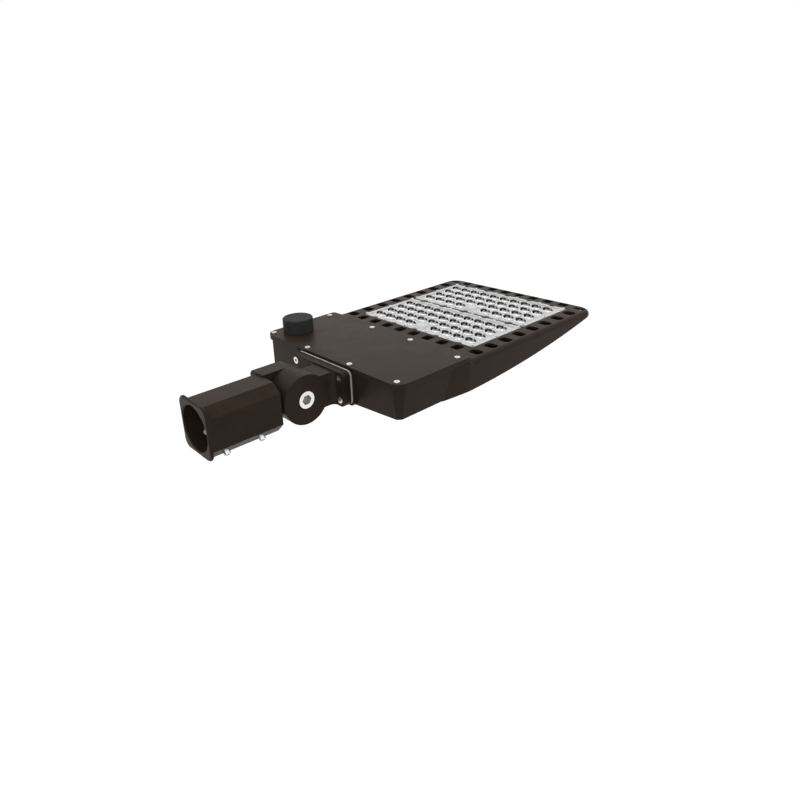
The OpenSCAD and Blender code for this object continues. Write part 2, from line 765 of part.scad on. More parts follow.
// Bosses and pads that stand on the compartment's floor
module comp_furniture() {
    low = floor_keel - cut;
    for (p = cover_places) translate([p[0], p[1], low]) cylinder(h = wall_top - low, r = boss_out_r, $fn = 40);
    for (p = cover_places) translate([p[0] < driver_x ? wall_x : p[0], p[1] - rib_t / 2, low])
        cube([p[0] < driver_x ? p[0] - wall_x : comp_end - p[0], rib_t, wall_top - low - boss_out_r]);
    for (p = driver_holes()) translate([p[0], p[1], low]) cylinder(h = driver_base - low, r = boss_out_r, $fn = 40);
    for (y = [surge_y, block_y], x = sides, e = sides)
        translate([small_x + x * block_w / 2 - small_pad, y + e * block_l / 3 - small_pad, low])
            cube([2 * small_pad, 2 * small_pad, small_base - low]);
}

module gasket_outline() {
    difference() {
        union() {
            difference() {
                flat_plate(wall_x + fit, comp_end - fit, comp_half_w - fit, comp_r - fit);
                flat_plate(wall_x + gasket_w, comp_end - gasket_w, comp_half_w - gasket_w, comp_r - gasket_w / 2);
            }
            intersection() {
                flat_plate(wall_x + fit, comp_end - fit, comp_half_w - fit, comp_r - fit);
                screw_pads();
            }
        }
        for (p = cover_places) translate(p) circle(r = cover_screw_d / 2 + loose, $fn = 24);
    }
}

// Widenings of the gasket round the cover's screws
module screw_pads() {
    for (p = cover_places) translate(p) circle(r = boss_out_r, $fn = 40);
    for (p = cover_places) translate([p[0] < driver_x ? wall_x + gasket_w / 2 : p[0], p[1] - boss_out_r / 2])
        square([p[0] < driver_x ? p[0] - wall_x - gasket_w / 2 : comp_end - gasket_w / 2 - p[0], boss_out_r]);
}

module cover_gasket() color([0.2, 0.2, 0.2])
    translate([0, 0, wall_top]) linear_extrude(gasket_t) gasket_outline();

// Plan outline of the cover, with large corners at the fitter's end
module cover_outline(in) {
    intersection() {
        flat_plate(cover_x + in, cover_end + cover_r, cover_half_w - in, cover_r - in);
        flat_plate(cover_x - cover_r, cover_end - in, cover_half_w - in, cover_end_r - in);
    }
}

module driver_cover() color([0.3, 0.28, 0.26]) {
    difference() {
        translate([0, 0, cover_z - lip_depth]) linear_extrude(lip_depth) cover_outline(0);
        translate([0, 0, cover_z - lip_depth - cut]) linear_extrude(lip_depth - cover_t + cut) cover_outline(lip_t);
        // Notch that clears the flange's pad
        translate([cover_x - cut, -flange_half_w - pad_margin - notch_margin, cover_z - lip_depth - cut])
            cube([lip_t + 2 * cut, 2 * (flange_half_w + pad_margin + notch_margin), lip_depth - cover_t + cut]);
        translate([port_x, port_y, cover_z - cover_t - cut]) cylinder(h = cover_t + 2 * cut, r = socket_r + loose, $fn = 64);
        for (p = cover_places) translate([p[0], p[1], cover_z - cover_t - cut])
            cylinder(h = cover_t + 2 * cut, r = cover_screw_d / 2 + loose, $fn = 24);
    }
}

module cover_screws() color([0.85, 0.85, 0.84])
    for (p = cover_places) translate([p[0], p[1], cover_z])
        socket_screw(cover_screw_d, cover_t + gasket_t + cover_screw_len - cut,
            cover_head_d, cover_head_h, cover_screw_d / 2 - fit, cover_head_h / 2);

module led_driver() color([0.75, 0.76, 0.77])
    translate([driver_x, driver_y, driver_base]) {
        difference() {
            union() {
                translate([-driver_w / 2, -driver_body / 2 - driver_tab, 0]) cube([driver_w, driver_body + 2 * driver_tab, driver_tab_t]);
                rotate([90, 0, 0]) translate([0, 0, -driver_body / 2]) linear_extrude(driver_body)
                    offset(r = driver_tab_t, $fn = 24) translate([-driver_w / 2 + driver_tab_t, driver_tab_t])
                        square([driver_w - 2 * driver_tab_t, driver_h - 2 * driver_tab_t]);
            }
            for (x = sides, y = sides)
                translate([x * driver_hole_x, y * (driver_body / 2 + driver_tab / 2), -cut])
                    cylinder(h = driver_tab_t + 2 * cut, r = driver_screw_d / 2 + loose, $fn = 24);
        }
    }

module driver_screws() color([0.8, 0.8, 0.79])
    for (p = driver_holes()) translate([p[0], p[1], driver_base + driver_tab_t])
        socket_screw(driver_screw_d, driver_tab_t + driver_bite - cut, driver_head_d, driver_head_h,
            driver_screw_d / 2 - fit, driver_head_h / 2);

module surge_protector() color([0.15, 0.15, 0.16])
    translate([small_x - surge_w / 2, surge_y - surge_l / 2, small_base]) difference() {
        linear_extrude(surge_h) translate([surge_edge_r, surge_edge_r]) offset(r = surge_edge_r, $fn = 24)
            square([surge_w - 2 * surge_edge_r, surge_l - 2 * surge_edge_r]);
        translate([surge_edge_r, surge_edge_r, surge_h - surge_edge_r / 2])
            cube([surge_w - 2 * surge_edge_r, surge_l - 2 * surge_edge_r, surge_edge_r]);
    }

module terminal_block() color([0.85, 0.83, 0.78])
    translate([small_x - block_w / 2, block_y - block_l / 2, small_base]) difference() {
        cube([block_w, block_l, block_h]);
        for (k = [0 : block_ways - 1]) {
            translate([block_w / 2, (k + 0.5) * block_l / block_ways, block_h / 2])
                cylinder(h = block_h, r = block_w / 6, $fn = 32);
            translate([-cut, (k + 0.5) * block_l / block_ways, block_h / 3])
                rotate([0, 90, 0]) cylinder(h = block_w / 3, r = block_w / 8, $fn = 24);
        }
    }

module duct_grommet() color([0.12, 0.12, 0.12])
    translate([0, 0, duct_z]) difference() {
        rod_x(part_in - grommet_lip_t, comp_end - wall_t / 2 - fit, duct_r + grommet_lip - fit, 32);
        for (s = sides) translate([0, s * lead_step, 0])
            rod_x(part_in - grommet_lip_t - cut, comp_end + cut, lead_r + fit, 24);
    }

// Two leads from the driver's end through the duct to the first board
module output_leads() color([0.6, 0.1, 0.1])
    for (s = sides) translate([0, s * lead_step, duct_z]) {
        rod_x(part_in - lead_in_end + lead_bend, window_x + lead_reach, lead_r, 24);
        translate([part_in - lead_in_end + lead_bend, 0, -lead_bend]) rotate([90, 0, 0])
            rotate_extrude(angle = 90, start = 90, $fn = 64) translate([lead_bend, 0]) circle(r = lead_r, $fn = 24);
        translate([part_in - lead_in_end, 0, -lead_bend - lead_in_end]) cylinder(h = lead_in_end, r = lead_r, $fn = 24);
    }

// Sensor port: socket, gasket and nut in the cover, and the turning cap
module sensor_socket() color([0.1, 0.1, 0.1])
    translate([port_x, port_y, cover_z]) difference() {
        union() {
            translate([0, 0, socket_gasket_t]) cylinder(h = socket_flange_t, r = socket_flange_r, $fn = 96);
            translate([0, 0, -socket_down]) cylinder(h = socket_down + socket_gasket_t + cut, r = socket_r, $fn = 96);
            cylinder(h = socket_up, r = socket_neck_r, $fn = 96);
        }
        for (a = [0, 120, 240]) rotate([0, 0, a - slot_spare / 2])
            translate([0, 0, socket_up - slot_depth]) rotate_extrude(angle = blade_angle + cap_turn + slot_spare, $fn = 96)
                translate([blade_r - slot_clear, 0]) square([blade_t + 2 * slot_clear, slot_depth + cut]);
    }

module socket_gasket() color([0.2, 0.2, 0.2])
    translate([port_x, port_y, cover_z]) difference() {
        cylinder(h = socket_gasket_t, r = socket_flange_r, $fn = 96);
        translate([0, 0, -cut]) cylinder(h = socket_gasket_t + 2 * cut, r = socket_r + fit, $fn = 96);
    }

module socket_nut() color([0.1, 0.1, 0.1])
    translate([port_x, port_y, cover_z - cover_t - socket_nut_h]) difference() {
        cylinder(h = socket_nut_h, r = socket_nut_r, $fn = 12);
        translate([0, 0, -cut]) cylinder(h = socket_nut_h + 2 * cut, r = socket_r + fit, $fn = 96);
    }

module sensor_cap() color([0.16, 0.16, 0.16])
    translate([port_x, port_y, cover_z]) difference() {
        union() {
            translate([0, 0, cap_lift]) cylinder(h = cap_h - cap_lift - cap_edge, r = cap_d / 2, $fn = 128);
            translate([0, 0, cap_h - cap_edge]) cylinder(h = cap_edge, r1 = cap_d / 2, r2 = cap_d / 2 - cap_edge, $fn = 128);
        }
        cylinder(h = cap_h - cap_top, r = cap_d / 2 - cap_wall, $fn = 128);
    }

module cap_blades() color([0.72, 0.6, 0.3])
    translate([port_x, port_y, cover_z]) {
        translate([0, 0, cap_h - cap_top - blade_disc_t]) cylinder(h = blade_disc_t, r = blade_disc_r, $fn = 64);
        for (a = [0, 120, 240]) rotate([0, 0, a]) translate([0, 0, blade_end])
            rotate_extrude(angle = blade_angle, $fn = 96) translate([blade_r, 0])
                square([blade_t, cap_h - cap_top - blade_end - blade_disc_t / 2]);
    }

// Places of the lenses and chips of one module, from its plate's fitter-side edge
function lens_places() = [for (r = [0 : 3], k = [0 : row_counts[r] - 1])
    if (r > 0 || k != (row_counts[0] - 1) / 2)
        [first_row + r * row_pitch, (k - (row_counts[r] - 1) / 2) * row_spacings[r] + (r == 0 ? sign(k - (row_counts[0] - 1) / 2) * row_1_shift : 0)]];

module board(m) {
    translate([plate_x + m * plate_step, 0, seat_z]) linear_extrude(board_t)
        flat_plate(lens_rim + fit, plate_len - lens_rim - fit, plate_half_w - lens_rim - fit, plate_r / 2);
}

module chips(m) {
    for (p = lens_places()) translate([plate_x + m * plate_step + p[0] - chip_w / 2, p[1] - chip_w / 2, seat_z + board_t])
        cube([chip_w, chip_w, chip_h]);
}

// Outline of one lens plate, scalloped between its ears
module plate_outline() {
    difference() {
        flat_plate(0, plate_len, plate_half_w, plate_r);
        bulges(0, -1, bulge_r);
        bulges(plate_len, 1, bulge_r);
    }
}

module lens_gasket(m) {
    translate([plate_x + m * plate_step, 0, seat_z]) linear_extrude(lens_gasket_t) difference() {
        plate_outline();
        flat_plate(lens_rim, plate_len - lens_rim, plate_half_w - lens_rim, plate_r / 2);
        for (p = lens_screw_places) translate(p) circle(r = lens_screw_d / 2 + fit, $fn = 24);
    }
}

module lens_plate(m) {
    translate([plate_x + m * plate_step, 0, 0]) difference() {
        union() {
            difference() {
                translate([0, 0, seat_z + lens_gasket_t]) linear_extrude(plate_top - seat_z - lens_gasket_t) plate_outline();
                translate([0, 0, field_z]) linear_extrude(cover_z - field_z)
                    flat_plate(lens_rim + field_in, plate_len - lens_rim - field_in, plate_half_w - lens_rim - field_in, plate_r);
                translate([0, 0, seat_z]) linear_extrude(field_z - sheet_t - seat_z)
                    flat_plate(lens_rim, plate_len - lens_rim, plate_half_w - lens_rim, plate_r / 2);
                // Notch for the leads
                translate([-cut, -lead_step - lead_r - loose, seat_z])
                    cube([lens_rim + 2 * cut, 2 * (lead_step + lead_r + loose), duct_up + lead_r + loose]);
            }
            // Lenses: two overlapping domes each
            for (p = lens_places(), s = sides) translate([p[0], p[1] + s * lobe_step, field_z + lens_h - lobe_ball_r])
                intersection() {
                    sphere(r = lobe_ball_r, $fn = 48);
                    translate([-lobe_ball_r, -lobe_ball_r, lobe_ball_r - lens_h - sheet_t / 2])
                        cube([2 * lobe_ball_r, 2 * lobe_ball_r, lobe_ball_r]);
                }
            // Dome over the wire connector
            translate([first_row, 0, field_z - sheet_t / 2])
                cylinder(h = boss_oval_h + sheet_t / 2, r1 = boss_oval_r, r2 = boss_oval_r - boss_oval_h / 2, $fn = 64);
        }
        for (p = lens_screw_places) translate([p[0], p[1], seat_z])
            cylinder(h = cover_z - seat_z, r = lens_screw_d / 2 + fit, $fn = 24);
    }
}

module led_board_1() color([0.93, 0.93, 0.92]) board(0);
module led_board_2() color([0.93, 0.93, 0.92]) board(1);
module led_chips_1() color([0.95, 0.85, 0.4]) chips(0);
module led_chips_2() color([0.95, 0.85, 0.4]) chips(1);
module lens_gasket_1() color([0.85, 0.85, 0.84]) lens_gasket(0);
module lens_gasket_2() color([0.85, 0.85, 0.84]) lens_gasket(1);
module lens_plate_1() color([0.95, 0.96, 0.97, 0.5]) lens_plate(0);
module lens_plate_2() color([0.95, 0.96, 0.97, 0.5]) lens_plate(1);

module lens_screws() color([0.85, 0.85, 0.84])
    for (m = [0, 1], p = lens_screw_places) translate([plate_x + m * plate_step + p[0], p[1], plate_top])
        socket_screw(lens_screw_d, plate_top - seat_z + lens_screw_bite, lens_head_d, lens_head_h,
            lens_screw_d / 2 - fit, lens_head_h / 2);

slip_fitter();
tenon_set_screws();
pivot_bolt();
pivot_nut();
knuckle_bracket();
flange_gasket();
flange_screws();
entry_grommet();
housing();
cover_gasket();
driver_cover();
cover_screws();
led_driver();
driver_screws();
surge_protector();
terminal_block();
duct_grommet();
output_leads();
sensor_socket();
socket_gasket();
socket_nut();
sensor_cap();
cap_blades();
led_board_1();
led_board_2();
led_chips_1();
led_chips_2();
lens_gasket_1();
lens_gasket_2();
lens_plate_1();
lens_plate_2();
lens_screws();
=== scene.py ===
import json
import math
import bmesh
import bpy
from mathutils import Matrix, Vector


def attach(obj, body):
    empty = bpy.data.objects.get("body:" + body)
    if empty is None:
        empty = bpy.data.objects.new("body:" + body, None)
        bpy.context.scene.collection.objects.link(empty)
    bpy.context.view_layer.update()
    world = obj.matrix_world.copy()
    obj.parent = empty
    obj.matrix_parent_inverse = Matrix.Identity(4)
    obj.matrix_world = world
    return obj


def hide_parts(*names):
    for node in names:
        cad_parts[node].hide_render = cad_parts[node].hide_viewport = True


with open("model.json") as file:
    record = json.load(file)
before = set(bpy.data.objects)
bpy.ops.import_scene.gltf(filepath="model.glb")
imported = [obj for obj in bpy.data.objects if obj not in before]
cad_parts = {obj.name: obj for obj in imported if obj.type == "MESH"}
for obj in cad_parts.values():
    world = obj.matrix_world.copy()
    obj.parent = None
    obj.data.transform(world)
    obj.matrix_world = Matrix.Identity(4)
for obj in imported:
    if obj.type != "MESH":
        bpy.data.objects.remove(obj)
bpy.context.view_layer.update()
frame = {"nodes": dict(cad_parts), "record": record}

MM = 0.001


# Camera at the photograph's viewpoint, its place and clipping in metres
CAMERA_AT = (-0.4139, -0.7330, 0.3958)
CAMERA_X = (0.76755, -0.63846, -0.05685)
CAMERA_Y = (0.28048, 0.25479, 0.92543)
CAMERA_BACK = (-0.57637, -0.72626, 0.37464)
SENSOR_MM = 36.0
LENS_MM = 29.17
SHIFT = (0.0643, -0.0497)
CLIP = (0.01, 50.0)


def make_camera():
    data = bpy.data.cameras.new("camera")
    data.sensor_width = SENSOR_MM
    data.lens = LENS_MM
    data.shift_x, data.shift_y = SHIFT
    data.clip_start, data.clip_end = CLIP
    cam = bpy.data.objects.new("camera", data)
    turn = Matrix((CAMERA_X, CAMERA_Y, CAMERA_BACK)).transposed().to_4x4()
    cam.matrix_world = Matrix.Translation(CAMERA_AT) @ turn
    bpy.context.scene.collection.objects.link(cam)
    bpy.context.scene.camera = cam


# Node trees: a noise mostly takes values in NOISE_RANGE, and a blend runs between two of them
NOISE_RANGE = (0.3, 0.7)
BLEND_RANGE = (0.35, 0.65)
MIX_FACTOR, MIX_A, MIX_B = 0, 6, 7
MIX_COLOUR = 2
SPECULAR = "Specular IOR Level"


class Tree:
    """A small helper that builds one node tree, with noise scales per metre and depths in mm."""

    def __init__(self, tree):
        self.nodes = tree.nodes
        self.links = tree.links

    def add(self, kind, **values):
        node = self.nodes.new(kind)
        for key, value in values.items():
            setattr(node, key, value)
        return node

    def put(self, node, socket, value):
        """Join a socket to the node's input, or set the input to a value."""
        if isinstance(value, bpy.types.NodeSocket):
            self.links.new(value, node.inputs[socket])
        else:
            node.inputs[socket].default_value = value

    def where(self):
        return self.add("ShaderNodeTexCoord").outputs["Object"]

    def stretched(self, scale):
        node = self.add("ShaderNodeMapping")
        self.put(node, "Vector", self.where())
        self.put(node, "Scale", scale)
        return node.outputs["Vector"]

    def noise(self, scale, detail=2.0, rough=0.5, vector=None):
        node = self.add("ShaderNodeTexNoise")
        self.put(node, "Vector", vector or self.where())
        self.put(node, "Scale", scale)
        self.put(node, "Detail", detail)
        self.put(node, "Roughness", rough)
        return node.outputs["Fac"]

    def cells(self, scale):
        node = self.add("ShaderNodeTexVoronoi")
        self.put(node, "Vector", self.where())
        self.put(node, "Scale", scale)
        return node.outputs["Distance"]

    def blend(self, fac, dark, light, between=BLEND_RANGE):
        """The colour from dark to light, while the factor goes through a range."""
        node = self.add("ShaderNodeValToRGB")
        self.put(node, "Fac", fac)
        for end, at, colour in zip(node.color_ramp.elements, between, (dark, light)):
            end.position = at
            end.color = (*colour, 1.0)
        return node.outputs["Color"]

    def span(self, value, to_low, to_high, between=NOISE_RANGE):
        """The number from to_low to to_high, while the value goes through a range."""
        node = self.add("ShaderNodeMapRange")
        self.put(node, "Value", value)
        self.put(node, "From Min", between[0])
        self.put(node, "From Max", between[1])
        self.put(node, "To Min", to_low)
        self.put(node, "To Max", to_high)
        return node.outputs["Result"]

    def math(self, op, a, b):
        node = self.add("ShaderNodeMath", operation=op)
        self.put(node, 0, a)
        self.put(node, 1, b)
        return node.outputs[0]

    def bump(self, height, strength, depth, normal=None):
        node = self.add("ShaderNodeBump")
        self.put(node, "Strength", strength)
        self.put(node, "Distance", depth * MM)
        self.put(node, "Height", height)
        if normal is not None:
            self.put(node, "Normal", normal)
        return node.outputs["Normal"]


# Materials
def material(name):
    mat = bpy.data.materials.new(name)
    mat.use_nodes = True
    return mat, Tree(mat.node_tree), mat.node_tree.nodes["Principled BSDF"]


def coat(t, shader, colour, roughness, normal, **uniform):
    """Give the shader its colour, roughness and normal, and the inputs that are the same all over."""
    t.put(shader, "Base Color", colour)
    t.put(shader, "Roughness", roughness)
    t.put(shader, "Normal", normal)
    for socket, value in uniform.items():
        t.put(shader, socket, value)


def mottled(name, scale, dark, light, rough, relief, detail=2.0, **uniform):
    """One noise carries the colour, the roughness and the relief, given as strength and depth."""
    mat, t, s = material(name)
    flow = t.noise(scale, detail)
    coat(t, s, t.blend(flow, dark, light), t.span(flow, *rough), t.bump(flow, *relief), **uniform)
    return mat


def casting():
    """Dark bronze powder coat with soft patches, fine grain and orange peel, on slightly soft edges."""
    mat, t, s = material("bronze_casting")
    soft = t.noise(38.0, 3.0)
    grain = t.noise(2600.0)
    peel = t.noise(620.0, 1.0)
    tint = t.add("ShaderNodeMix", data_type="RGBA", blend_type="MULTIPLY")
    t.put(tint, MIX_FACTOR, 1.0)
    t.put(tint, MIX_A, t.blend(soft, (0.0285, 0.0175, 0.0112), (0.0365, 0.0228, 0.0148), NOISE_RANGE))
    t.put(tint, MIX_B, t.blend(grain, (0.86, 0.86, 0.86), (1.1, 1.1, 1.1), (0.35, 0.7)))
    edge = t.add("ShaderNodeBevel", samples=4)
    t.put(edge, "Radius", 0.8 * MM)
    peeled = t.bump(peel, 0.3, 0.1, edge.outputs["Normal"])
    roughness = t.span(soft, 0.34, 0.44)
    coat(t, s, tint.outputs[MIX_COLOUR], roughness, t.bump(grain, 0.25, 0.05, peeled), **{SPECULAR: 0.08})
    return mat


def steel():
    """Bright steel with fine turning lines."""
    mat, t, s = material("steel_screws")
    lines = t.noise(900.0, 3.0, 0.6, t.stretched((1.0, 1.0, 9.0)))
    colour = t.blend(lines, (0.74, 0.74, 0.73), (0.9, 0.9, 0.89), NOISE_RANGE)
    coat(t, s, colour, t.span(lines, 0.22, 0.36), t.bump(lines, 0.15, 0.03), Metallic=1.0)
    return mat


def rubbery(name, dark, light, rough):
    """Dull rubber or plastic with a fine grain."""
    mat, t, s = material(name)
    fine = t.noise(1500.0, 3.0)
    wide = t.noise(90.0)
    roughness = t.span(fine, rough - 0.06, rough + 0.08)
    coat(t, s, t.blend(wide, dark, light), roughness, t.bump(fine, 0.3, 0.06), **{SPECULAR: 0.02})
    return mat


def plain_metal(name, dark, light, rough):
    """Rolled metal with its lines along the light."""
    mat, t, s = material(name)
    grain = t.noise(500.0, 4.0, 0.6, t.stretched((1.0, 14.0, 1.0)))
    roughness = t.span(grain, rough - 0.06, rough + 0.08)
    coat(t, s, t.blend(grain, dark, light), roughness, t.bump(grain, 0.12, 0.04), Metallic=1.0)
    return mat


def chip_yellow():
    mat, t, s = material("chip_yellow")
    cells = t.cells(1400.0)
    colour = t.blend(cells, (0.93, 0.72, 0.18), (0.98, 0.84, 0.34), (0.2, 0.7))
    coat(t, s, colour, 0.3, t.bump(cells, 0.2, 0.05))
    return mat


def painted_lens_layer(name, scale, dark, light, strength=0.1, **uniform):
    """A smooth layer of painted light inside a lens: its painted shade, dark reflections and highlight.
    """
    return mottled(name, scale, dark, light, (0.1, 0.2), (strength, 0.04), **uniform)


def steel_tone_for_painted_light(name, low, high, metallic):
    """Dull warm steel, from the tone low to high, darker or lighter than the screws' own steel: painted
    shade in the sockets, painted highlight on the tips.
    """
    dark, light = ((tone, tone * 0.98, tone * 0.94) for tone in (low, high))
    return mottled(name, 1200.0, dark, light, (0.4, 0.55), (0.15, 0.03), 3.0, Metallic=metallic)


def cool_grey(tone):
    return (tone, tone, tone * 1.01)


MATERIALS = {
    "bronze_casting": casting(),
    "steel_screws": steel(),
    "grey_gasket": rubbery("grey_gasket", (0.5, 0.48, 0.45), (0.58, 0.56, 0.53), 0.55),
    "black_rubber": rubbery("black_rubber", (0.018, 0.018, 0.018), (0.028, 0.028, 0.028), 0.6),
    "driver_case": plain_metal("driver_case", (0.6, 0.61, 0.62), (0.74, 0.75, 0.76), 0.35),
    "black_plastic": rubbery("black_plastic", (0.034, 0.034, 0.0345), (0.042, 0.042, 0.0425), 0.4),
    "pale_plastic": rubbery("pale_plastic", (0.72, 0.7, 0.64), (0.8, 0.78, 0.72), 0.45),
    "lead_sleeve": rubbery("lead_sleeve", (0.42, 0.03, 0.025), (0.52, 0.05, 0.04), 0.3),
    "contact_brass": plain_metal("contact_brass", (0.62, 0.45, 0.17), (0.78, 0.6, 0.27), 0.28),
    "board_white": mottled(
        "board_white", 700.0, (0.82, 0.83, 0.82), (0.9, 0.9, 0.89), (0.28, 0.4), (0.1, 0.03)),
    "chip_yellow": chip_yellow(),
    "clear_lens": mottled(
        "clear_lens", 160.0, (0.76, 0.77, 0.77), (0.9, 0.91, 0.91), (0.06, 0.14), (0.1, 0.05),
        Alpha=0.75, IOR=1.49),
}
# Painted dark reflection, near-black, in each lens
PAINTED_BLACK_REFLECTION = painted_lens_layer(
    "lens_core", 420.0, (0.003, 0.003, 0.004), (0.009, 0.009, 0.011), 0.08, **{SPECULAR: 0.03})
# Painted shade, grey, over most of each lens
PAINTED_SHADE = painted_lens_layer("lens_shade", 310.0, cool_grey(0.26), cool_grey(0.36), **{SPECULAR: 0.3})
# Painted dark reflection, dark grey, in the kidney shape of each lens
PAINTED_DARK_REFLECTION = painted_lens_layer("lens_dusk", 310.0, cool_grey(0.05), cool_grey(0.085), **{SPECULAR: 0.1})
# Painted highlight: the lens domes and a small oval on each are near-white and partly metallic
PAINTED_HIGHLIGHT = painted_lens_layer("lens_painted_highlight", 240.0, (0.93, 0.93, 0.93), (0.98, 0.98, 0.98), Metallic=0.65)
# Painted shade for the hex sockets: a darker copy of the screws' steel
PAINTED_SOCKET_SHADE = steel_tone_for_painted_light("painted_socket_shade", 0.34, 0.46, 0.3)
# Painted highlight for the set screws' tips: a near-white copy of their steel
PAINTED_TIP_HIGHLIGHT = steel_tone_for_painted_light("painted_tip_highlight", 0.86, 0.95, 0.1)


def dress_nodes():
    for row in frame["record"]["subparts"]:
        mesh = frame["nodes"][row["node"]].data
        mesh.materials.clear()
        mesh.materials.append(MATERIALS[row["material_slot"]])


# Shells and pieces: sizes below are in mm
def shell(rings):
    """A closed shell through rings of equally many points, with its two end rings filled."""
    size = len(rings[0])
    verts = [point for ring in rings for point in ring]
    last = len(verts) - 1
    faces = [tuple(range(size)), tuple(range(last, last - size, -1))]
    for start in range(0, len(verts) - size, size):
        for k in range(size):
            after = (k + 1) % size
            faces.append((start + k, start + size + k, start + size + after, start + after))
    return verts, faces


def moved(part, dx, dy):
    verts, faces = part
    return [(x + dx, y + dy, z) for x, y, z in verts], faces


def mesh_of(name, parts):
    verts, faces = [], []
    for part_verts, part_faces in parts:
        base = len(verts)
        verts += [(x * MM, y * MM, z * MM) for x, y, z in part_verts]
        faces += [tuple(base + i for i in f) for f in part_faces]
    mesh = bpy.data.meshes.new(name)
    mesh.from_pydata(verts, [], faces)
    mesh.update()
    return mesh


def turn_outwards(mesh):
    """Set all faces of closed shells to look outwards."""
    bm = bmesh.new()
    bm.from_mesh(mesh)
    bmesh.ops.recalc_face_normals(bm, faces=bm.faces[:])
    bm.to_mesh(mesh)
    bm.free()


def piece(name, mesh, mat, body):
    mesh.materials.clear()
    mesh.materials.append(mat)
    obj = bpy.data.objects.new(name, mesh)
    bpy.context.scene.collection.objects.link(obj)
    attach(obj, body)
    return obj


# Lens places: PLATE_X is each plate's start, and ROWS the count and spacing of each row across it.
# The first row leaves out its middle lens, for the connector's dome, and spreads the rest.
PLATE_X = (312.3, 440.4)
FIRST_ROW = 18.995
ROW_PITCH = 25.4
ROWS = ((9, 25.2), (9, 25.5), (9, 25.4), (10, 23.3))
ROW_SHIFT = 3.5

# A lens is a ball's cap, drawn out to two lobes at LOBE_AT each side of its middle
FIELD_Z = 29.5
LOBE_R = 8.0
LOBE_AT = 3.0
LOBE_POINTS = 13
DOME_H = 6.0
DOME_ROOT = 0.4
DOME_RINGS = (0.5, 1.8, 3.4, 5.0, 6.3, 7.3, 8.0)
BALL_R = (LOBE_R * LOBE_R + DOME_H * DOME_H) / (2.0 * DOME_H)

# Images inside a lens, painted as thin layers over its dome: painted shade, painted dark reflections and
# a painted highlight. Ovals are centre and radii
LAYER_THICK = 0.3
LAYER_EDGE = 1.5
LAYER_CUTS = 3
CURVE_STEPS = 3
OVAL_POINTS = 20
# The oval of painted grey shade
PAINTED_SHADE_OVAL = (-0.2, -1.2, 6.7, 9.2)
PAINTED_SHADE_POINTS = 28
PAINTED_SHADE_UP = 0.08
# Height of the painted dark reflection in the kidney outline
PAINTED_DARK_REFLECTION_UP = 0.14
# Near-black painted dark reflection: two ovals and the stroke
PAINTED_BLACK_OVALS = ((-4.9, 2.0, 2.3, 2.9), (-2.6, -4.3, 1.7, 3.1))
PAINTED_BLACK_UP = 0.2
# The oval of painted highlight
PAINTED_HIGHLIGHT_OVAL = (3.1, -5.1, 1.9, 1.7)
PAINTED_HIGHLIGHT_UP = 0.14
# Outline of the dark grey painted dark reflection
KIDNEY = (
    (-6.6, -0.3), (-6.9, 1.2), (-6.8, 2.5), (-6.3, 3.9), (-5.6, 4.8), (-4.7, 5.6), (-3.5, 6.5),
    (-1.8, 7.6), (0.4, 8.2), (2.8, 7.6), (4.6, 6.0), (5.5, 4.0), (5.2, 1.6), (4.0, -0.4),
    (2.3, -2.2), (1.4, -3.6), (0.6, -4.8), (-0.2, -5.9), (-1.2, -6.9), (-2.6, -7.3), (-4.1, -7.0),
    (-4.7, -5.3), (-4.5, -3.3), (-4.3, -1.6), (-5.2, -0.8),
)
# Outline of a near-black stroke of painted dark reflection near the lens's edge
STROKE = (
    (-0.6, -10.2), (2.4, -10.4), (5.0, -9.3), (7.0, -6.9), (6.0, -5.0), (4.7, -5.5), (3.1, -6.9),
    (1.4, -8.0), (-0.4, -8.5),
)


def lens_places():
    places = []
    for row, (count, spacing) in enumerate(ROWS):
        for k in range(count):
            off = k - (count - 1) / 2
            if row == 0 and off == 0:
                continue
            shift = math.copysign(ROW_SHIFT, off) if row == 0 else 0.0
            places.append((FIRST_ROW + row * ROW_PITCH, off * spacing + shift))
    return places


def past_lobe(y):
    return max(abs(y) - LOBE_AT, 0.0)


def dome_z(x, y):
    out = past_lobe(y)
    return FIELD_Z + math.sqrt(max(BALL_R ** 2 - x * x - out * out, 0.0)) - (BALL_R - DOME_H)


def stadium(r):
    """Outline of two half circles of radius r, LOBE_AT each side of the middle."""
    half = [math.pi * k / (LOBE_POINTS - 1) for k in range(LOBE_POINTS)]
    top = [(r * math.cos(a), LOBE_AT + r * math.sin(a)) for a in half]
    return top + [(-x, -y) for x, y in top]


def dome_shell():
    rings = [[(x, y, dome_z(x, y)) for x, y in stadium(r)] for r in DOME_RINGS]
    rings.append([(x, y, FIELD_Z - DOME_ROOT) for x, y in stadium(LOBE_R)])
    return shell(rings)


def ellipse(x, y, rx, ry, count=OVAL_POINTS):
    turns = [2 * math.pi * k / count for k in range(count)]
    return [(x + rx * math.cos(a), y + ry * math.sin(a)) for a in turns]


def rounded(points):
    """A smooth closed outline through the points."""
    out = []
    for k in range(len(points)):
        a, b, c, d = (Vector(points[(k + j) % len(points)]) for j in (-1, 0, 1, 2))
        for step in range(CURVE_STEPS):
            u = step / CURVE_STEPS
            slope = (c - a) * u
            bend = (2 * a - 5 * b + 4 * c - d) * u * u
            twist = (3 * b - a - 3 * c + d) * u ** 3
            out.append(0.5 * (2 * b + slope + bend + twist))
    return out


